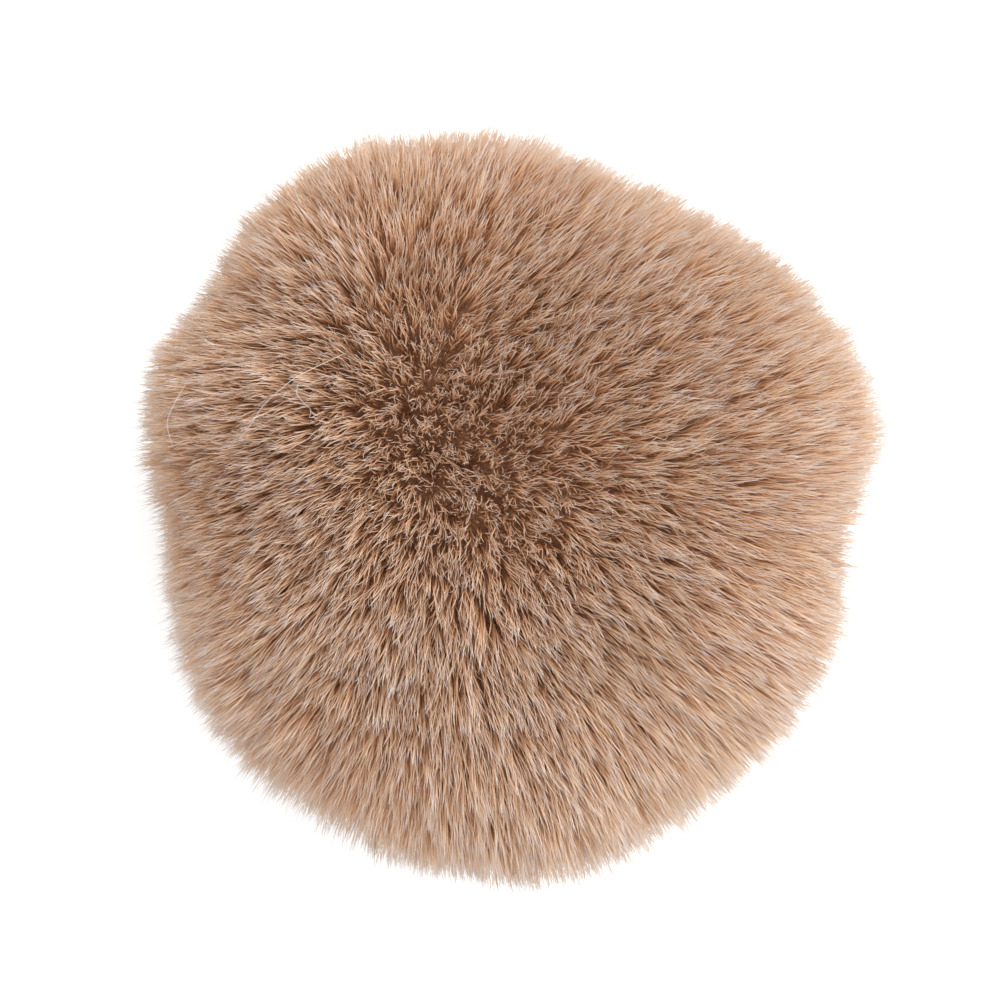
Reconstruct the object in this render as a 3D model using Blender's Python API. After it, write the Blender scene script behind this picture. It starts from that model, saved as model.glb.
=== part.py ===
"""A faux-fur pom pom, lying on its tied back with its pile standing out all round.

The whole thing is one solid: locks of pile of three sides each, which stand apart from
each other and are fused at their roots into the round backing of the fur cloth.
Metres, +Z up. The origin is on the surface it lies on, under the middle of its box.
"""

import math
import random

import bmesh
import bpy
from mathutils import Vector, noise

# Driving sizes
PARTING_HEIGHT = 0.042  # the point that every lock spreads from, above the surface
TOP_REACH = 0.046  # from that point to the tips of the crown
UNDER_REACH = 0.0455  # the same downwards, if no surface pressed the pile back
FULLNESS = 2.15  # 2 is an ellipse in side view, and more is squarer
BACKING_SHARE = 0.52  # the backing's radius, as a share of the pile's reach
LEVEL_WITHIN = 1e-6  # a point this near the surface lies on it

# The pile's reach seen from above, measured from the parting, at even headings from +X
# anticlockwise. The ball is fuller towards +X and -Y, as it has slumped that way.
RIM_REACH = (
    0.0645, 0.0612, 0.0552, 0.0494, 0.0466, 0.0462, 0.0456, 0.0460,
    0.0456, 0.0443, 0.0430, 0.0458, 0.0459, 0.0445, 0.0478, 0.0538,
    0.0580, 0.0607, 0.0648, 0.0675, 0.0665, 0.0660, 0.0657, 0.0608,
)

# Locks
ROOT_POINTS = 152  # points spread on a ball make twice as many triangles, less four
ROOT_JITTER = 0.022  # how far a root point strays from its even place, on a unit ball
LOCK_SECTIONS = (
    # share of the lock's length, share of its full width
    (0.06, 0.66),
    (0.44, 0.72),
    (0.69, 0.60),
    (0.87, 0.32),
)
FLOOR_LOCK_SECTIONS = (
    (0.10, 0.66),
    (0.60, 0.72),
    (1.00, 0.60),
)
LOCK_LENGTHS = (0.93, 1.01)  # shortest and longest, as shares of the pile's reach
TIP_STRAY = 0.35  # of the lock's width
SWEEP = 0.13  # how far the tips lean with the lie of the pile, on a unit ball
SWEEP_DETAIL = 1.4  # changes in that lie across a unit ball
SEED = 7

FUR_COLOUR = (0.440, 0.265, 0.160, 1.0)
FUR_ROUGHNESS = 0.92


def clear_scene():
    for obj in list(bpy.data.objects):
        bpy.data.objects.remove(obj)


def rim_reach(heading):
    """The reach at a heading in radians, on a smooth curve through RIM_REACH."""
    rows = len(RIM_REACH)
    place = (heading / math.tau * rows) % rows
    row = int(place)
    t = place - row
    before, start, end, after = (RIM_REACH[(row + k) % rows] for k in (-1, 0, 1, 2))
    slope_in = (end - before) / 2
    slope_out = (after - start) / 2
    return (
        (2 * t**3 - 3 * t**2 + 1) * start
        + (t**3 - 2 * t**2 + t) * slope_in
        + (3 * t**2 - 2 * t**3) * end
        + (t**3 - t**2) * slope_out
    )


def floor_reach(direction):
    """How far the surface lies from the parting in this direction."""
    return PARTING_HEIGHT / -direction.z if direction.z < -LEVEL_WITHIN else math.inf


def open_reach(direction):
    """How far the pile would reach in this direction with no surface in its way."""
    level = math.hypot(direction.x, direction.y)
    rim = rim_reach(math.atan2(direction.y, direction.x))
    height = TOP_REACH if direction.z > 0 else UNDER_REACH
    share = (level / rim) ** FULLNESS + (abs(direction.z) / height) ** FULLNESS
    return share ** (-1 / FULLNESS)


def pile_reach(direction):
    return min(open_reach(direction), floor_reach(direction))


def lands_on_floor(direction):
    return floor_reach(direction) < open_reach(direction)


def swept(direction, along):
    """The direction after the lie of the pile has bent a lock, along from root to tip."""
    lie = noise.noise_vector(direction * SWEEP_DETAIL)
    return (direction + lie * SWEEP * along**2).normalized()


def root_points(rng):
    """Points spread evenly over a unit ball on a spiral, each a little off its place."""
    turn = math.pi * (3 - math.sqrt(5))
    for n in range(ROOT_POINTS):
        z = 1 - (2 * n + 1) / ROOT_POINTS
        level = math.sqrt(1 - z * z)
        even = Vector((level * math.cos(turn * n), level * math.sin(turn * n), z))
        stray = Vector([rng.gauss(0, ROOT_JITTER) for _ in range(3)])
        yield (even + stray).normalized()


def face_middle(face):
    return sum((v.co.normalized() for v in face.verts), Vector()).normalized()


def ball_of_roots(bm, rng):
    """A ball of triangles, each the root of one lock, listed from the bottom up."""
    for point in root_points(rng):
        bm.verts.new(point)
    bmesh.ops.convex_hull(bm, input=bm.verts[:])
    bmesh.ops.recalc_face_normals(bm, faces=bm.faces[:])
    return sorted(bm.faces, key=lambda face: face_middle(face).z)


def corners_on_floor(face, width):
    """How many corners of a lock's end, at a share of its full width, reach the surface."""
    middle = face_middle(face)
    corners = (middle.lerp(v.co.normalized(), width).normalized() for v in face.verts)
    return sum(lands_on_floor(swept(corner, 1.0)) for corner in corners)


def draw_out(bm, face, sections, length):
    """Extrudes a lock from its root, section by section, and returns its end face.

    On the unit ball a point's distance from the middle holds its place along the lock:
    1 at the root and 2 at the full reach.
    """
    middle = face_middle(face)
    width_before = 1.0
    for along, width in sections:
        face = bmesh.ops.extrude_discrete_faces(bm, faces=[face])["faces"][0]
        for vert in face.verts:
            off_middle = vert.co.normalized() - middle
            direction = (middle + off_middle * width / width_before).normalized()
            vert.co = direction * (1 + along * length)
        width_before = width
    return face


def draw_point(bm, face, length, rng):
    """Closes a lock's end face to a point, a little off its middle."""
    corners = sorted(v.co.normalized().to_tuple() for v in face.verts)
    corner = Vector(rng.choice(corners))
    middle = face_middle(face)
    tip = bmesh.ops.poke(bm, faces=[face])["verts"][0]
    tip.co = (middle + (corner - middle) * TIP_STRAY).normalized() * (1 + length)


def add_locks(bm, rng):
    for root in ball_of_roots(bm, rng):
        length = rng.uniform(*LOCK_LENGTHS)
        end_width = FLOOR_LOCK_SECTIONS[-1][1]
        if corners_on_floor(root, end_width) == len(root.verts):
            draw_out(bm, root, FLOOR_LOCK_SECTIONS, 1.0)
            continue
        if corners_on_floor(root, 1.0):
            length = 1.0
        end = draw_out(bm, root, LOCK_SECTIONS, length)
        draw_point(bm, end, length, rng)


def shape_ball(bm):
    """Bends the unit ball of locks into the pom pom's own form, resting at z 0."""
    for vert in bm.verts:
        along = vert.co.length - 1
        direction = swept(vert.co.normalized(), along)
        share = BACKING_SHARE + (1 - BACKING_SHARE) * along
        vert.co = direction * pile_reach(direction) * share
        vert.co.z += PARTING_HEIGHT
        if vert.co.z < LEVEL_WITHIN:
            vert.co.z = 0.0


def centre_over_origin(bm):
    xs = [v.co.x for v in bm.verts]
    ys = [v.co.y for v in bm.verts]
    middle = Vector(((min(xs) + max(xs)) / 2, (min(ys) + max(ys)) / 2, 0))
    bmesh.ops.translate(bm, vec=-middle, verts=bm.verts[:])


def fur_material():
    material = bpy.data.materials.new("fur")
    material.use_nodes = True
    shader = material.node_tree.nodes["Principled BSDF"]
    shader.inputs["Base Color"].default_value = FUR_COLOUR
    shader.inputs["Roughness"].default_value = FUR_ROUGHNESS
    shader.inputs["Metallic"].default_value = 0.0
    material.diffuse_color = FUR_COLOUR
    return material


def pom_pom(collection):
    rng = random.Random(SEED)
    noise.seed_set(SEED)
    bm = bmesh.new()
    add_locks(bm, rng)
    shape_ball(bm)
    centre_over_origin(bm)
    mesh = bpy.data.meshes.new("pom_pom")
    bm.to_mesh(mesh)
    bm.free()
    mesh.materials.append(fur_material())
    obj = bpy.data.objects.new("pom_pom", mesh)
    collection.objects.link(obj)
    return obj


def main():
    clear_scene()
    collection = bpy.data.collections.new("Pom pom")
    bpy.context.scene.collection.children.link(collection)
    pom_pom(collection)


main()
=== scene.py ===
# %% [markdown]
# # A faux-fur pom pom
#
# This lesson dresses the plain solid of a pom pom with fur. The real one is a round of
# long-pile cloth, gathered on a tie into a ball, so the pile stands out all round from
# one parting. The solid already has the right size and place. What it lacks is a
# hundred thousand fine strands, and Geometry Nodes are made for that.

# %% Load the fixed frame
import math

import bmesh
import bpy
from mathutils import Matrix, Vector, noise


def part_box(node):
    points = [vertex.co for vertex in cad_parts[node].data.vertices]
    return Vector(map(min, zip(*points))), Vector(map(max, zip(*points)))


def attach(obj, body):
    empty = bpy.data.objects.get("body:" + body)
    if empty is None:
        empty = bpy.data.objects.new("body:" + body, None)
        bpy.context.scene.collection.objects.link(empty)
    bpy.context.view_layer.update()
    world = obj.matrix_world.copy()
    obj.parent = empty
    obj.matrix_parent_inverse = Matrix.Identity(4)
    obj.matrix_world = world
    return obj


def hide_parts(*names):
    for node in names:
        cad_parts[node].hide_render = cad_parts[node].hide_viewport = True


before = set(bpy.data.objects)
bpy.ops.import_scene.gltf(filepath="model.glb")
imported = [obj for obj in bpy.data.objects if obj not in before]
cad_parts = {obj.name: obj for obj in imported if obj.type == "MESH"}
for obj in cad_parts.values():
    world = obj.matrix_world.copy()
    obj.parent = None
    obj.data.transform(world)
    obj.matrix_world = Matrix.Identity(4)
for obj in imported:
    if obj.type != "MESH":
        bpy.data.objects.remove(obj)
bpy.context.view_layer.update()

low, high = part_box("pom_pom")
print("the solid ball, in mm:", [round(side * 1000, 1) for side in high - low])

# %% [markdown]
# ## The camera
#
# The photograph looks straight down on the ball. A long lens from far away keeps the
# rim's strands level with the view, as there, and a short one would bulge the crown.
# The image is 1000 pixels wide and the ball fills 746 by 761 of them, so the picture
# is 144.5 mm wide where the ball is widest.

# %% Camera
PICTURE_WIDTH = 0.1445  # what the picture shows across, at the ball's widest level
WIDEST_LEVEL = 0.042
LENS_MM, SENSOR_MM = 150.0, 36.0
VIEW_CENTRE = Vector((-0.0013, 0.0004, 0.0))  # the ball sits a little right of the middle

camera_data = bpy.data.cameras.new("camera")
camera_data.lens = LENS_MM
camera_data.sensor_width = SENSOR_MM
camera = bpy.data.objects.new("camera", camera_data)
bpy.context.scene.collection.objects.link(camera)
camera_height = WIDEST_LEVEL + PICTURE_WIDTH * LENS_MM / SENSOR_MM
camera.location = VIEW_CENTRE + Vector((0, 0, camera_height))
bpy.context.scene.camera = camera
print("camera height, in mm:", round(camera_height * 1000))

# %% [markdown]
# ## Light and floor
#
# The photograph is a bright studio picture on white. One large soft lamp stands to the
# right of the ball and beyond it, so the lower left is darkest, and a bright
# white surround fills the shadows.

# %% Light and floor
LAMP_PLACE = Vector((0.62, 0.36, 0.73))
LAMP_SIZE = 0.90
LAMP_WATTS = 10.5
SURROUND_STRENGTH = 1.50
FLOOR_SIZE = 3.0
FLOOR_COLOUR = (0.95, 0.95, 0.95)
FLOOR_ROUGHNESS = 0.9


def aim(obj, target):
    obj.rotation_euler = (target - obj.location).to_track_quat("-Z", "Y").to_euler()


def plain_material(name, colour, roughness):
    material = bpy.data.materials.new(name)
    material.use_nodes = True
    shader = material.node_tree.nodes["Principled BSDF"]
    shader.inputs["Base Color"].default_value = (*colour, 1.0)
    shader.inputs["Roughness"].default_value = roughness
    return material


lamp_data = bpy.data.lights.new("soft lamp", "AREA")
lamp_data.size = LAMP_SIZE
lamp_data.energy = LAMP_WATTS
lamp = bpy.data.objects.new("soft lamp", lamp_data)
lamp.location = LAMP_PLACE
aim(lamp, Vector((0, 0, WIDEST_LEVEL)))
bpy.context.scene.collection.objects.link(lamp)

world = bpy.data.worlds.new("white surround")
world.use_nodes = True
world.node_tree.nodes["Background"].inputs["Color"].default_value = (1, 1, 1, 1)
world.node_tree.nodes["Background"].inputs["Strength"].default_value = SURROUND_STRENGTH
bpy.context.scene.world = world
bpy.context.scene.view_settings.view_transform = "Standard"

floor_mesh = bpy.data.meshes.new("floor")
shape = bmesh.new()
bmesh.ops.create_grid(shape, x_segments=1, y_segments=1, size=FLOOR_SIZE / 2)
shape.to_mesh(floor_mesh)
shape.free()
floor = bpy.data.objects.new("floor", floor_mesh)
floor_mesh.materials.append(plain_material("white floor", FLOOR_COLOUR, FLOOR_ROUGHNESS))
bpy.context.scene.collection.objects.link(floor)
print("lamp", LAMP_WATTS, "W, surround", SURROUND_STRENGTH)

# %% [markdown]
# ## The ball's form
#
# Every strand spreads from one point under the parting. How far it reaches depends on
# its heading, because the ball has slumped to the lower right, and on its height. The
# reach seen from above is a short table with a smooth curve through it, and the side
# view is a slightly squared ellipse. Strands that would pass the floor stop there.

# %% How far the pile reaches
SEED = 7
PARTING = Vector((-0.0085, 0.0093, 0.042))
TOP_REACH = 0.046
UNDER_REACH = 0.0455
FULLNESS = 2.15  # 2 is an ellipse in side view, and more is squarer
RIM_REACH = (  # in mm, every 15 degrees from +X anticlockwise
    64.1, 60.6, 55.2, 49.1, 46.3, 46.2, 45.1, 45.7, 45.1, 44.0, 42.3, 45.3,
    45.4, 44.2, 47.8, 53.8, 57.4, 60.6, 65.2, 67.9, 66.9, 66.4, 66.1, 61.0,
)


def smooth(before, start, end, after, t):
    """Between start and end, on a smooth curve through all four, with t from 0 to 1."""
    slope_in, slope_out = (end - before) / 2, (after - start) / 2
    return (
        start * (2 * t**3 - 3 * t**2 + 1)
        + slope_in * (t**3 - 2 * t**2 + t)
        + end * (3 * t**2 - 2 * t**3)
        + slope_out * (t**3 - t**2)
    )


def round_table(table, direction):
    """The value for a direction's heading in a table that runs round the ball."""
    heading = math.atan2(direction.y, direction.x)
    place = (heading / math.tau * len(table)) % len(table)
    row = int(place)
    return smooth(*(table[(row + k) % len(table)] for k in (-1, 0, 1, 2)), place - row)


def pile_reach(direction):
    """How far the strands' tips are from the parting's centre in one direction."""
    level = math.hypot(direction.x, direction.y)
    rim = round_table(RIM_REACH, direction) / 1000
    height = TOP_REACH if direction.z > 0 else UNDER_REACH
    share = (level / rim) ** FULLNESS + (abs(direction.z) / height) ** FULLNESS
    open_reach = share ** (-1 / FULLNESS)
    to_floor = PARTING.z / max(-direction.z, 1e-6)
    return min(open_reach, to_floor)


for name, direction in {"right": (1, 0, 0), "top": (0, 0, 1), "down": (0, 0, -1)}.items():
    print("reach to the", name, round(pile_reach(Vector(direction)) * 1000, 1), "mm")

# %% [markdown]
# ## The felted core
#
# Deep down, the underfur of a real pom pom is so dense that no single hair shows. Here
# it is one solid ball inside the pile, and the strands grow from it. It starts as an
# icosphere, whose small even triangles suit a scatter. Each of its points also remembers
# two things for the nodes: `tip`, the place that a strand rooted there reaches, and
# `patch`, which of six pieces the strand will belong to.
#
# The lie of the pile is never quite straight. The ball was stroked and squashed, so round
# it the strands lean to one side here and to the other there. A short table holds that
# lean, as seen from above, and a soft noise adds to it.

# %% Core ball
CORE_SHARE = 0.80  # the core's radius, as a share of the pile's reach
CORE_CUTS = 4
LEAN = (16, 2, -21, -14, 12, 20, 14, -3, -5, 3, 8, 7)  # degrees anticlockwise, every 30
LIE = 0.045  # how far a noise turns the tips besides, on a unit ball
LIE_DETAIL = 1.9
PATCHES = ("pile_right", "pile_left", "pile_far", "pile_near", "pile_crown", "pile_under")
MIDDLE = Vector((-0.004, 0.0045, 0.042))  # of the core, roughly

noise.seed_set(SEED)


def leaning(direction):
    """The direction of a strand's tip, turned by the lie of the pile."""
    lean = math.radians(round_table(LEAN, direction))
    turn = Matrix.Rotation((1 - CORE_SHARE) * math.tan(lean), 3, "Z")
    stray = noise.noise_vector(direction * LIE_DETAIL) * LIE
    return (turn @ direction + stray).normalized()


def patch_of(place):
    """Which of the six pieces covers this side of the ball, as on a dice."""
    off_middle = place - MIDDLE
    axis = max(range(3), key=lambda n: abs(off_middle[n]))
    return 2 * axis + (off_middle[axis] < 0)


def felted_core():
    mesh = bpy.data.meshes.new("core")
    shape = bmesh.new()
    bmesh.ops.create_icosphere(shape, subdivisions=CORE_CUTS + 1, radius=1.0)
    shape.to_mesh(mesh)
    shape.free()
    tips = mesh.attributes.new("tip", "FLOAT_VECTOR", "POINT")
    patches = mesh.attributes.new("patch", "INT", "FACE")
    for vertex, tip in zip(mesh.vertices, tips.data):
        direction = vertex.co.normalized()
        lean = leaning(direction)
        tip.vector = PARTING + lean * pile_reach(lean)
        vertex.co = PARTING + direction * pile_reach(direction) * CORE_SHARE
    for face, patch in zip(mesh.polygons, patches.data):
        patch.value = patch_of(face.center)
    core = bpy.data.objects.new("core", mesh)
    bpy.context.scene.collection.objects.link(core)
    return core


core = felted_core()
print("core:", len(core.data.polygons), "triangles")

# %% [markdown]
# The core is seen only as the brown bottom of the gaps between locks. Felt is mottled
# and fuzzy, so its colour mixes two sizes of noise, and the finer one also makes a
# shallow bump.

# %% Felt material
FELT_DARK = (0.21, 0.095, 0.048)
FELT_PALE = (0.44, 0.23, 0.13)
FELT_PATCHES = 260.0  # changes of colour to the metre
FELT_FUZZ = 2600.0
FELT_DETAIL = 3.0
FELT_RANGE = (0.38, 0.62)  # of the mixed noise, from all dark to all pale
FELT_BUMP = 0.0004
FELT_ROUGHNESS = 0.95
FELT_SPECULAR = 0.1


def felt_material():
    material = bpy.data.materials.new("felted underfur")
    material.use_nodes = True
    nodes, links = material.node_tree.nodes, material.node_tree.links
    shader = nodes["Principled BSDF"]
    shader.inputs["Roughness"].default_value = FELT_ROUGHNESS
    shader.inputs["Specular IOR Level"].default_value = FELT_SPECULAR
    place = nodes.new("ShaderNodeTexCoord").outputs["Object"]
    noises = {}
    for name, scale in {"patches": FELT_PATCHES, "fuzz": FELT_FUZZ}.items():
        noises[name] = nodes.new("ShaderNodeTexNoise")
        noises[name].inputs["Scale"].default_value = scale
        noises[name].inputs["Detail"].default_value = FELT_DETAIL
        links.new(place, noises[name].inputs["Vector"])
    colours = nodes.new("ShaderNodeValToRGB")
    ends = zip(colours.color_ramp.elements, FELT_RANGE, (FELT_DARK, FELT_PALE))
    for element, position, colour in ends:
        element.position = position
        element.color = (*colour, 1.0)
    both = nodes.new("ShaderNodeMix")
    bump = nodes.new("ShaderNodeBump")
    bump.inputs["Distance"].default_value = FELT_BUMP
    links.new(noises["patches"].outputs["Fac"], both.inputs["A"])
    links.new(noises["fuzz"].outputs["Fac"], both.inputs["B"])
    links.new(both.outputs["Result"], colours.inputs["Fac"])
    links.new(noises["fuzz"].outputs["Fac"], bump.inputs["Height"])
    links.new(colours.outputs["Color"], shader.inputs["Base Color"])
    links.new(bump.outputs["Normal"], shader.inputs["Normal"])
    return material


core.data.materials.append(felt_material())
core.data.shade_smooth()
print("felt material:", len(core.data.materials[0].node_tree.nodes), "nodes")

# %% [markdown]
# ## One strand
#
# A strand is a closed spindle with three sides: a point at the root, one or two rings
# of three corners, and a point at the tip. Two rings let it bend twice and cost 12
# triangles, one ring costs 6. The pile is a mix of two kinds: long fine guard hair, and
# shorter, thicker underfur. Along the strand, z runs from 0 at the root to 1 at the
# tip. The sides stay flat-shaded: rounded over only three sides, the shading would turn
# black where light comes in from the edge.

# %% Strand meshes
GUARD_RINGS = ((0.60, 1.0), (0.88, 0.80))  # how far along, and the share of full width
UNDER_RINGS = ((0.64, 1.0),)
SIDES = 3


def strand(name, rings):
    """A closed spindle of unit length and unit radius."""
    shape = bmesh.new()
    root = shape.verts.new((0, 0, 0))
    tip = shape.verts.new((0, 0, 1))
    loops = []
    for along, width in rings:
        turns = [math.tau * k / SIDES for k in range(SIDES)]
        ring = [shape.verts.new((width * math.cos(a), width * math.sin(a), along)) for a in turns]
        loops.append(ring)
    for k in range(SIDES):
        after = (k + 1) % SIDES
        shape.faces.new((root, loops[0][after], loops[0][k]))
        for lower, upper in zip(loops, loops[1:]):
            shape.faces.new((lower[k], lower[after], upper[after], upper[k]))
        shape.faces.new((loops[-1][k], loops[-1][after], tip))
    bmesh.ops.triangulate(shape, faces=shape.faces[:])
    mesh = bpy.data.meshes.new(name)
    shape.to_mesh(mesh)
    shape.free()
    made = bpy.data.objects.new(name, mesh)
    bpy.context.scene.collection.objects.link(made)
    print(name, "has", len(mesh.polygons), "triangles")
    return made


guard_strand = strand("guard strand", GUARD_RINGS)
under_strand = strand("under strand", UNDER_RINGS)

# %% [markdown]
# ## The fur's colours
#
# Each strand is dark brown at its root, pale sand near its end and a soft grey at the
# very tip, and no two strands are quite alike. The nodes give every strand its own map:
# across the map is the strand's shade, and up the map is the way from root to tip. The
# material reads that map alone, so the colour stays with the strand from every side.

# %% Fur material
FUR_MAP = "OFBake"
ROOT_TO_TIP = (  # way along the strand, and the colour there in linear RGB
    (0.00, (0.380, 0.186, 0.100)),
    (0.50, (0.590, 0.352, 0.212)),
    (0.78, (0.655, 0.505, 0.392)),
    (0.92, (0.550, 0.520, 0.520)),
    (1.00, (0.370, 0.385, 0.410)),
)
SHADES = (  # across the map, and the tint there
    (0.0, (0.83, 0.735, 0.64)),
    (0.3, (0.98, 0.90, 0.77)),
    (0.6, (1.00, 0.97, 0.95)),
    (1.0, (1.01, 1.04, 1.09)),
)
FUR_ROUGHNESS = 0.60
FUR_SPECULAR = 0.12


def colour_ramp(nodes, stops):
    ramp = nodes.new("ShaderNodeValToRGB")
    for place, _ in stops[1:-1]:
        ramp.color_ramp.elements.new(place)
    for element, (place, colour) in zip(ramp.color_ramp.elements, stops):
        element.position = place
        element.color = (*colour, 1.0)
    return ramp


def fur_material():
    material = bpy.data.materials.new("fur")
    material.use_nodes = True
    nodes, links = material.node_tree.nodes, material.node_tree.links
    shader = nodes["Principled BSDF"]
    shader.inputs["Roughness"].default_value = FUR_ROUGHNESS
    shader.inputs["Specular IOR Level"].default_value = FUR_SPECULAR
    strand_map = nodes.new("ShaderNodeUVMap")
    strand_map.uv_map = FUR_MAP
    ways = nodes.new("ShaderNodeSeparateXYZ")
    along, shade = colour_ramp(nodes, ROOT_TO_TIP), colour_ramp(nodes, SHADES)
    tint = nodes.new("ShaderNodeMix")
    tint.data_type, tint.blend_type = "RGBA", "MULTIPLY"
    tint.inputs["Factor"].default_value = 1.0
    links.new(strand_map.outputs["UV"], ways.inputs[0])
    links.new(ways.outputs["X"], shade.inputs["Fac"])
    links.new(ways.outputs["Y"], along.inputs["Fac"])
    links.new(along.outputs["Color"], tint.inputs["A"])
    links.new(shade.outputs["Color"], tint.inputs["B"])
    links.new(tint.outputs["Result"], shader.inputs["Base Color"])
    return material


fur = fur_material()
print("fur material:", len(fur.node_tree.nodes), "nodes")

# %% [markdown]
# ## Small helpers for node trees
#
# A tree built in a script is easiest to read when each step is one short call that
# returns the socket it makes. These helpers set an input to a number, or link it when
# it is given a socket.

# %% Node helpers
def fill(tree, socket, value):
    if isinstance(value, bpy.types.NodeSocket):
        tree.links.new(value, socket)
    else:
        socket.default_value = value


def place_node(tree, kind, inputs=None, **settings):
    """Adds a node with its settings, and fills its inputs by name or number."""
    node = tree.nodes.new(kind)
    for name, value in settings.items():
        setattr(node, name, value)
    for key, value in (inputs or {}).items():
        fill(tree, node.inputs[key], value)
    return node


def number(tree, operation, *values):
    inputs = dict(enumerate(values))
    return place_node(tree, "ShaderNodeMath", inputs, operation=operation).outputs[0]


def vector(tree, operation, *values):
    node = place_node(tree, "ShaderNodeVectorMath", operation=operation)
    takes = [s for s in node.inputs if s.enabled]
    for socket, value in zip(takes, values):
        fill(tree, socket, value)
    return next(s for s in node.outputs if s.enabled)


def random_number(tree, lowest, highest, seed):
    inputs = {2: lowest, 3: highest, 8: seed}
    return place_node(tree, "FunctionNodeRandomValue", inputs, data_type="FLOAT").outputs[1]


def random_vector(tree, seed):
    inputs = {0: (-1, -1, -1), 1: (1, 1, 1), 8: seed}
    return place_node(tree, "FunctionNodeRandomValue", inputs, data_type="FLOAT_VECTOR").outputs[0]


def named_vector(tree, name):
    node = place_node(tree, "GeometryNodeInputNamedAttribute", {0: name}, data_type="FLOAT_VECTOR")
    return node.outputs[0]


# %% [markdown]
# ## The pile's tree
#
# Three scatters on the core make the fur. The first puts down the strands. The
# second and third put down the middles of small locks and of larger tufts, and each
# strand looks up the nearest of both and leans its tip towards theirs. That is what
# makes fur fall in locks instead of standing like a brush. The pull is weaker from the
# widest level down, where the photograph shows an even fringe, and each tuft is a
# little longer or shorter than the next. The strand itself is an instance that is
# realized, and then every one of its corners is placed on a curve from root to tip by
# a short formula.

# %% Tree inputs
TREE_INPUTS = (
    ("Geometry", "NodeSocketGeometry", None),
    ("Strand Density", "NodeSocketFloat", 5.1),  # for each square mm of the core
    ("Guard Share", "NodeSocketFloat", 0.42),
    ("Guard Radius", "NodeSocketFloat", 0.000055),
    ("Under Radius", "NodeSocketFloat", 0.00013),
    ("Shortest Guard", "NodeSocketFloat", 0.89),
    ("Shortest Under", "NodeSocketFloat", 0.60),
    ("Longest Under", "NodeSocketFloat", 0.92),
    ("Lock Density", "NodeSocketFloat", 0.5),
    ("Lock Pull", "NodeSocketFloat", 0.32),
    ("Under Pull", "NodeSocketFloat", 0.50),  # of the guard strands' pull
    ("Rim Pull", "NodeSocketFloat", 0.40),  # of the crown's pull
    ("Tuft Density", "NodeSocketFloat", 0.06),
    ("Tuft Pull", "NodeSocketFloat", 0.12),
    ("Shortest Tuft", "NodeSocketFloat", 0.91),
    ("Longest Tuft", "NodeSocketFloat", 1.04),
    ("Lock Bend", "NodeSocketFloat", 0.0011),
    ("Strand Bend", "NodeSocketFloat", 0.0006),
    ("Tip Curl", "NodeSocketFloat", 0.0008),
    ("Patch", "NodeSocketInt", 0),
    ("Seed", "NodeSocketInt", SEED),
    ("Guard Strand", "NodeSocketObject", None),
    ("Under Strand", "NodeSocketObject", None),
    ("Material", "NodeSocketMaterial", None),
)
PER_SQUARE_METRE = 1e6
LOCK_STEP, TUFT_STEP, STRAND_STEP = 1, 2, 3  # what each scatter adds to the seed


def start_tree(name):
    tree = bpy.data.node_groups.new(name, "GeometryNodeTree")
    for label, kind, value in TREE_INPUTS:
        socket = tree.interface.new_socket(label, in_out="INPUT", socket_type=kind)
        if value is not None:
            socket.default_value = value
    tree.interface.new_socket("Geometry", in_out="OUTPUT", socket_type="NodeSocketGeometry")
    given = tree.nodes.new("NodeGroupInput")
    return tree, given.outputs


# %% [markdown]
# The scatters. All use the same core, so a strand can look up the lock and the tuft
# nearest to it. Only the strands are kept to one patch.

# %% Scatters
def scatter(tree, given, density, seed_step, selection=True):
    """Points spread at random over the core, so many to the square millimetre."""
    inputs = {
        "Mesh": given["Geometry"],
        "Selection": selection,
        "Density": number(tree, "MULTIPLY", density, PER_SQUARE_METRE),
        "Seed": number(tree, "ADD", given["Seed"], seed_step),
    }
    return place_node(tree, "GeometryNodeDistributePointsOnFaces", inputs).outputs["Points"]


def on_this_patch(tree, given):
    patch = place_node(tree, "GeometryNodeInputNamedAttribute", {0: "patch"}, data_type="INT")
    same = place_node(tree, "FunctionNodeCompare", data_type="INT", operation="EQUAL")
    fill(tree, same.inputs[2], patch.outputs[0])
    fill(tree, same.inputs[3], given["Patch"])
    return same.outputs[0]


def look_up(tree, points, nearest, value, kind):
    """What a value is at the nearest of some other points."""
    inputs = {"Geometry": points, "Value": value, "Index": nearest}
    return place_node(tree, "GeometryNodeSampleIndex", inputs, data_type=kind).outputs[0]


# %% [markdown]
# The leaning. A tip that moves part of the way to the middle of its lock makes a point
# that is open at the root and closed at the end, as combed fur has.

# %% Locks and tufts
def nearest_of(tree, points):
    return place_node(tree, "GeometryNodeSampleNearest", {"Geometry": points}).outputs[0]


def pulled(tree, tip, points, nearest, pull):
    """The tip, moved towards the tip at the middle of its lock."""
    middle = look_up(tree, points, nearest, named_vector(tree, "tip"), "FLOAT_VECTOR")
    way = vector(tree, "SUBTRACT", middle, tip)
    return vector(tree, "ADD", tip, vector(tree, "SCALE", way, pull))


def pull_at_height(tree, given):
    """1 at the crown, and the share for the rim from the widest level down."""
    place = place_node(tree, "GeometryNodeInputPosition").outputs[0]
    height = place_node(tree, "ShaderNodeSeparateXYZ", {0: place}).outputs["Z"]
    crown = PARTING.z + TOP_REACH * CORE_SHARE
    limits = {0: height, 1: PARTING.z, 2: crown, 3: given["Rim Pull"], 4: 1.0}
    return place_node(tree, "ShaderNodeMapRange", limits).outputs[0]


def by_kind(tree, is_guard, under, guard):
    inputs = {"Switch": is_guard, "False": under, "True": guard}
    return place_node(tree, "GeometryNodeSwitch", inputs, input_type="FLOAT").outputs[0]


# %% [markdown]
# The curve. The strand runs straight from root to tip, a bend grows with the square of
# the way along, and a curl turns only the very end, so it grows with a higher power.

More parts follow.
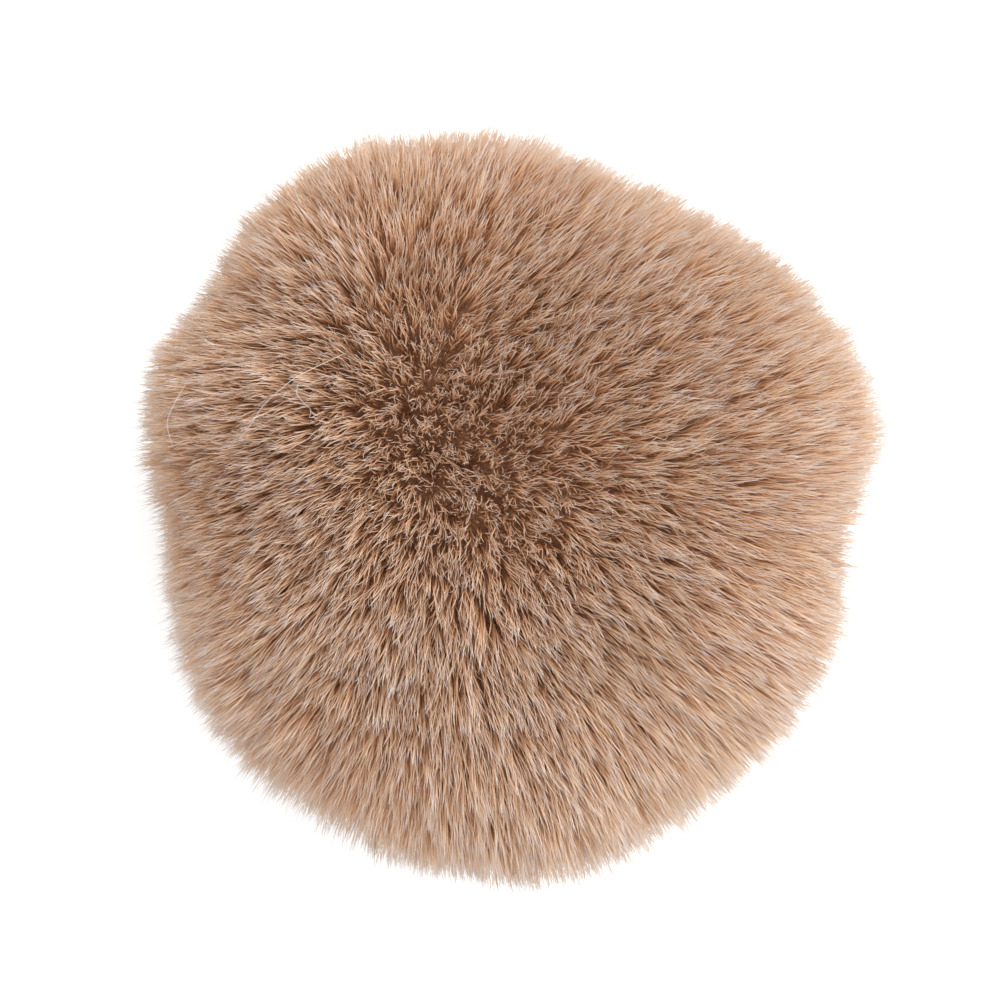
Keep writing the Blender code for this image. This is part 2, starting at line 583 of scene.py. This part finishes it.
# %% The curve of one strand
BEND_POWER = 2.0
CURL_POWER = 5.0


def on_curve(tree, facts):
    """Where a corner of the strand belongs, from its place on the unit spindle."""
    corner = place_node(tree, "ShaderNodeSeparateXYZ", {0: facts["corner"]}).outputs
    along = corner["Z"]
    axis = vector(tree, "SUBTRACT", facts["tip"], facts["root"])
    side = vector(tree, "NORMALIZE", vector(tree, "CROSS_PRODUCT", axis, facts["twist"]))
    front = vector(tree, "NORMALIZE", vector(tree, "CROSS_PRODUCT", axis, side))
    way = vector(tree, "SCALE", axis, number(tree, "MULTIPLY", along, facts["length"]))
    bend = vector(tree, "SCALE", facts["bend"], number(tree, "POWER", along, BEND_POWER))
    curl = vector(tree, "SCALE", facts["curl"], number(tree, "POWER", along, CURL_POWER))
    across = vector(tree, "SCALE", side, number(tree, "MULTIPLY", corner["X"], facts["radius"]))
    deep = vector(tree, "SCALE", front, number(tree, "MULTIPLY", corner["Y"], facts["radius"]))
    place = facts["root"]
    for step in (way, bend, curl, across, deep):
        place = vector(tree, "ADD", place, step)
    ways = place_node(tree, "ShaderNodeSeparateXYZ", {0: place}).outputs
    above_floor = number(tree, "MAXIMUM", ways["Z"], 0.0)
    inputs = {0: ways["X"], 1: ways["Y"], 2: above_floor}
    return place_node(tree, "ShaderNodeCombineXYZ", inputs).outputs[0]


# %% [markdown]
# The strand's map is stored on the corners of its faces. Each side of the spindle gets
# a narrow strip of the map, because a face with no width there can't hold a colour. The
# guard hair reaches the grey end of the map, and the underfur stops short of it.

# %% The strand's map
MAP_STRIP = 0.004
MAP_MARGIN = 0.02


def strand_map(tree, facts):
    corner = place_node(tree, "ShaderNodeSeparateXYZ", {0: facts["corner"]}).outputs
    strip = number(tree, "MULTIPLY", corner["Y"], MAP_STRIP)
    across = number(tree, "ADD", facts["shade"], strip)
    way = number(tree, "MULTIPLY", corner["Z"], facts["paleness"])
    limits = {0: way, 3: MAP_MARGIN, 4: 1 - MAP_MARGIN}
    up = place_node(tree, "ShaderNodeMapRange", limits).outputs[0]
    return place_node(tree, "ShaderNodeCombineXYZ", {0: across, 1: up}).outputs[0]


# %% [markdown]
# The facts. What is true of a whole strand, such as its length or its shade, is worked
# out once, at its root. Random values have a seed of their own each, and a strand takes
# part of its shade from its lock and tuft, so neighbours are alike.

# %% The facts of each strand
SEEDS = {
    "lock bend": 11, "lock shade": 12, "tuft shade": 13, "strand bend": 14, "curl": 15,
    "length": 16, "shade": 17, "twist": 18, "kind": 19, "tightness": 20, "tuft length": 21,
}
NUMBER_FACTS = ("length", "radius", "shade", "paleness")
LOOSEST_LOCK = 0.35  # the share of the pull in the loosest lock
STRAND_SHADE, LOCK_SHADE, TUFT_SHADE = 0.5, 0.3, 0.2  # shares of a strand's shade


def kind_of(tree, given):
    """True for the guard strands, and false for the underfur."""
    chance = random_number(tree, 0.0, 1.0, SEEDS["kind"])
    return number(tree, "LESS_THAN", chance, given["Guard Share"])


def pulled_tip(tree, given, guards, locks, tufts):
    """Where the strand's tip goes, once its tuft and its lock have pulled at it."""
    (lock_points, lock), (tuft_points, tuft) = locks, tufts
    tightness = random_number(tree, LOOSEST_LOCK, 1.0, SEEDS["tightness"])
    tightness = look_up(tree, lock_points, lock, tightness, "FLOAT")
    kind_pull = by_kind(tree, guards, given["Under Pull"], 1.0)
    height_pull = pull_at_height(tree, given)
    lock_pull = number(tree, "MULTIPLY", tightness, given["Lock Pull"])
    lock_pull = number(tree, "MULTIPLY", lock_pull, kind_pull)
    lock_pull = number(tree, "MULTIPLY", lock_pull, height_pull)
    tuft_pull = number(tree, "MULTIPLY", given["Tuft Pull"], height_pull)
    tip = pulled(tree, named_vector(tree, "tip"), tuft_points, tuft, tuft_pull)
    return pulled(tree, tip, lock_points, lock, lock_pull)


def shade_of(tree, locks, tufts):
    """The strand's place across the map, from 0 to 1."""
    own = random_number(tree, 0.0, 1.0, SEEDS["shade"])
    shade = number(tree, "MULTIPLY", own, STRAND_SHADE)
    for points, seed, share in ((locks, "lock shade", LOCK_SHADE), (tufts, "tuft shade", TUFT_SHADE)):
        value = look_up(tree, *points, random_number(tree, 0.0, 1.0, SEEDS[seed]), "FLOAT")
        shade = number(tree, "MULTIPLY_ADD", value, share, shade)
    return shade


def strand_facts(tree, given, guards):
    """What each strand needs to know, by name. Facts with one number are in NUMBER_FACTS."""
    lock_points = scatter(tree, given, given["Lock Density"], LOCK_STEP)
    tuft_points = scatter(tree, given, given["Tuft Density"], TUFT_STEP)
    locks = lock_points, nearest_of(tree, lock_points)
    tufts = tuft_points, nearest_of(tree, tuft_points)
    lock_bend = look_up(tree, *locks, random_vector(tree, SEEDS["lock bend"]), "FLOAT_VECTOR")
    own_bend = random_vector(tree, SEEDS["strand bend"])
    guard_length = random_number(tree, given["Shortest Guard"], 1.0, SEEDS["length"])
    under = given["Shortest Under"], given["Longest Under"]
    under_length = random_number(tree, *under, SEEDS["length"])
    tuft = given["Shortest Tuft"], given["Longest Tuft"]
    tuft_length = random_number(tree, *tuft, SEEDS["tuft length"])
    tuft_length = look_up(tree, *tufts, tuft_length, "FLOAT")
    length = by_kind(tree, guards, under_length, guard_length)
    return {
        "root": place_node(tree, "GeometryNodeInputPosition").outputs[0],
        "tip": pulled_tip(tree, given, guards, locks, tufts),
        "bend": vector(
            tree, "ADD",
            vector(tree, "SCALE", lock_bend, given["Lock Bend"]),
            vector(tree, "SCALE", own_bend, given["Strand Bend"]),
        ),
        "curl": vector(tree, "SCALE", random_vector(tree, SEEDS["curl"]), given["Tip Curl"]),
        "twist": random_vector(tree, SEEDS["twist"]),
        "length": number(tree, "MULTIPLY", length, tuft_length),
        "radius": by_kind(tree, guards, given["Under Radius"], given["Guard Radius"]),
        "shade": shade_of(tree, locks, tufts),
        "paleness": by_kind(tree, guards, under_length, 1.0),
    }


# %% [markdown]
# The whole tree. Capture Attribute pins each fact to the roots, so that it is still there
# once the spindles are instanced and realized, and every corner can read it.

# %% The whole tree
def captured(tree, geometry, values):
    """The geometry with some values pinned to it, and the sockets that give them back."""
    keep = place_node(tree, "GeometryNodeCaptureAttribute")
    for name, value in values.items():
        keep.capture_items.new("FLOAT" if name in NUMBER_FACTS else "VECTOR", name)
        fill(tree, keep.inputs[name], value)
    fill(tree, keep.inputs["Geometry"], geometry)
    return keep.outputs["Geometry"], {name: keep.outputs[name] for name in values}


def both_spindles(tree, given):
    """The two model strands, joined as instances to pick from."""
    spindles = tree.nodes.new("GeometryNodeJoinGeometry")
    for name in ("Guard Strand", "Under Strand"):
        inputs = {"Object": given[name], "As Instance": True}
        info = place_node(tree, "GeometryNodeObjectInfo", inputs)
        fill(tree, spindles.inputs[0], info.outputs["Geometry"])
    return spindles.outputs[0]


def pile_tree():
    tree, given = start_tree("Pile")
    seed_step = number(tree, "ADD", given["Patch"], STRAND_STEP)
    roots = scatter(tree, given, given["Strand Density"], seed_step, on_this_patch(tree, given))
    guards = kind_of(tree, given)
    roots, facts = captured(tree, roots, strand_facts(tree, given, guards))
    unit_place = place_node(tree, "GeometryNodeInputPosition").outputs[0]
    spindles, corners = captured(tree, both_spindles(tree, given), {"corner": unit_place})
    facts.update(corners)

    strands = place_node(tree, "GeometryNodeInstanceOnPoints", {
        "Points": roots,
        "Instance": spindles,
        "Pick Instance": True,
        "Instance Index": guards,
    }).outputs[0]
    solid = place_node(tree, "GeometryNodeRealizeInstances", {0: strands}).outputs[0]
    placed = place_node(tree, "GeometryNodeSetPosition", {
        "Geometry": solid,
        "Position": on_curve(tree, facts),
    }).outputs[0]
    mapped = place_node(tree, "GeometryNodeStoreNamedAttribute", {
        "Geometry": placed,
        "Name": FUR_MAP,
        "Value": strand_map(tree, facts),
    }, data_type="FLOAT2", domain="CORNER").outputs[0]
    finished = place_node(tree, "GeometryNodeSetMaterial", {
        "Geometry": mapped,
        "Material": given["Material"],
    }).outputs[0]
    place_node(tree, "NodeGroupOutput", {"Geometry": finished})
    return tree


tree = pile_tree()
print("pile tree:", len(tree.nodes), "nodes")

# %% [markdown]
# ## Growing the pile
#
# The ball is grown in six patches, like the faces of a dice, so that no piece is too
# heavy. All six look up the same locks and tufts, so no seam shows between them. Each
# result is kept as a plain mesh.

# %% Grow the six patches
STRAND_DENSITY = {"pile_crown": 6.82, "pile_under": 4.25}
USUAL_DENSITY = 5.10


def set_inputs(modifier, values):
    for item in modifier.node_group.interface.items_tree:
        if item.item_type == "SOCKET" and item.in_out == "INPUT" and item.name in values:
            modifier[item.identifier] = values[item.name]


def grown(name, source, values):
    """The evaluated result of the pile's tree on a mesh, as a plain object."""
    modifier = source.modifiers.new("pile", "NODES")
    modifier.node_group = tree
    set_inputs(modifier, values)
    seen = source.evaluated_get(bpy.context.evaluated_depsgraph_get())
    mesh = bpy.data.meshes.new_from_object(seen)
    source.modifiers.remove(modifier)
    mesh.name = name
    piece = bpy.data.objects.new(name, mesh)
    bpy.context.scene.collection.objects.link(piece)
    return piece


pile = []
for number_of_patch, name in enumerate(PATCHES):
    piece = grown(name, core, {
        "Patch": number_of_patch,
        "Strand Density": STRAND_DENSITY.get(name, USUAL_DENSITY),
        "Guard Strand": guard_strand,
        "Under Strand": under_strand,
        "Material": fur,
    })
    pile.append(piece)
    print(name, len(piece.data.polygons), "triangles")
print("pile:", sum(len(piece.data.polygons) for piece in pile), "triangles")

# %% [markdown]
# ## Stray hairs
#
# A few long pale hairs have come loose on the left and lie across the pile. Each is a
# thin three-sided tube along a few given places, which are seen from above and
# put on the pile's surface here. They wear the grey end of the fur's map.

# %% Stray hairs
STRAY_ROUTES = (  # in mm from the part's origin
    ((-21.6, 20.3), (-27.9, 17.4), (-30.4, 15.7), (-33.2, 13.2), (-34.9, 10.8), (-36.8, 8.4)),
    ((-44.2, 16.9), (-46.5, 13.2), (-47.3, 11.3), (-47.1, 9.6), (-46.4, 7.5)),
    ((-28.4, 16.2), (-28.6, 14.7), (-27.6, 13.4), (-26.7, 12.5), (-26.9, 11.4)),
)
STRAY_RADIUS = 0.00004
STRAY_STEPS = 4  # rings between two places of a route
STRAY_SHADE = 0.8
STRAY_WAYS = (0.9, 0.98)  # up the fur's map, from one end of the hair to the other


def on_pile(x, y):
    """The place on the upper side of the pile's surface that is seen at x and y."""
    off = Vector((x, y, 0)) / 1000 - PARTING
    share = math.hypot(off.x, off.y) / (round_table(RIM_REACH, off) / 1000)
    height = TOP_REACH * (1 - share**FULLNESS) ** (1 / FULLNESS)
    return PARTING + Vector((off.x, off.y, height))


def stray_line(route):
    """Many places along a smooth curve through a few."""
    places = [on_pile(x, y) for x, y in route]
    padded = [places[0], *places, places[-1]]
    line = []
    for four in zip(padded, padded[1:], padded[2:], padded[3:]):
        line += [smooth(*four, step / STRAY_STEPS) for step in range(STRAY_STEPS)]
    return [*line, places[-1]]


def add_stray(shape, line):
    """A tube of three sides along a line, closed to a point at both ends."""
    strip_map = shape.loops.layers.uv[FUR_MAP]
    rings = []
    for before, here, after in zip(line, line[1:], line[2:]):
        side = (after - before).cross(Vector((0, 0, 1))).normalized()
        front = side.cross(after - before).normalized()
        turns = [math.tau * k / SIDES for k in range(SIDES)]
        offs = [(side * math.cos(a) + front * math.sin(a)) * STRAY_RADIUS for a in turns]
        rings.append([shape.verts.new(here + off) for off in offs])
    start, end = shape.verts.new(line[0]), shape.verts.new(line[-1])
    rings = [[start] * SIDES, *rings, [end] * SIDES]
    for ring, (lower, upper) in enumerate(zip(rings, rings[1:])):
        for k in range(SIDES):
            after = (k + 1) % SIDES
            corners = (lower[k], upper[k], upper[after], lower[after])
            face = shape.faces.new(dict.fromkeys(corners))
            for loop in face.loops:
                strip = MAP_STRIP if loop.vert in (lower[k], upper[k]) else -MAP_STRIP
                way = (ring + (loop.vert in upper)) / len(rings)
                up = STRAY_WAYS[0] + (STRAY_WAYS[1] - STRAY_WAYS[0]) * way
                loop[strip_map].uv = (STRAY_SHADE + strip, up)


def stray_hairs():
    shape = bmesh.new()
    shape.loops.layers.uv.new(FUR_MAP)
    for route in STRAY_ROUTES:
        add_stray(shape, stray_line(route))
    bmesh.ops.recalc_face_normals(shape, faces=shape.faces[:])
    bmesh.ops.triangulate(shape, faces=shape.faces[:])
    mesh = bpy.data.meshes.new("stray_hairs")
    shape.to_mesh(mesh)
    shape.free()
    mesh.materials.append(fur)
    made = bpy.data.objects.new("stray_hairs", mesh)
    bpy.context.scene.collection.objects.link(made)
    return made


strays = stray_hairs()
print("stray hairs:", len(strays.data.polygons), "triangles")

# %% [markdown]
# The two model strands and the core's own notes have done their work. They go, so that
# only finished pieces are left.

# %% Tidy the helpers away
for helper in (guard_strand, under_strand):
    bpy.data.objects.remove(helper)
for name in ("tip", "patch"):
    core.data.attributes.remove(core.data.attributes[name])

# %% [markdown]
# ## Hand over
#
# Every piece rides on the one body, and the pile stands for the plain solid.

# %% Ride, replace and finish
for piece in (*pile, strays, core):
    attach(piece, "root")
    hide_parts("pom_pom")
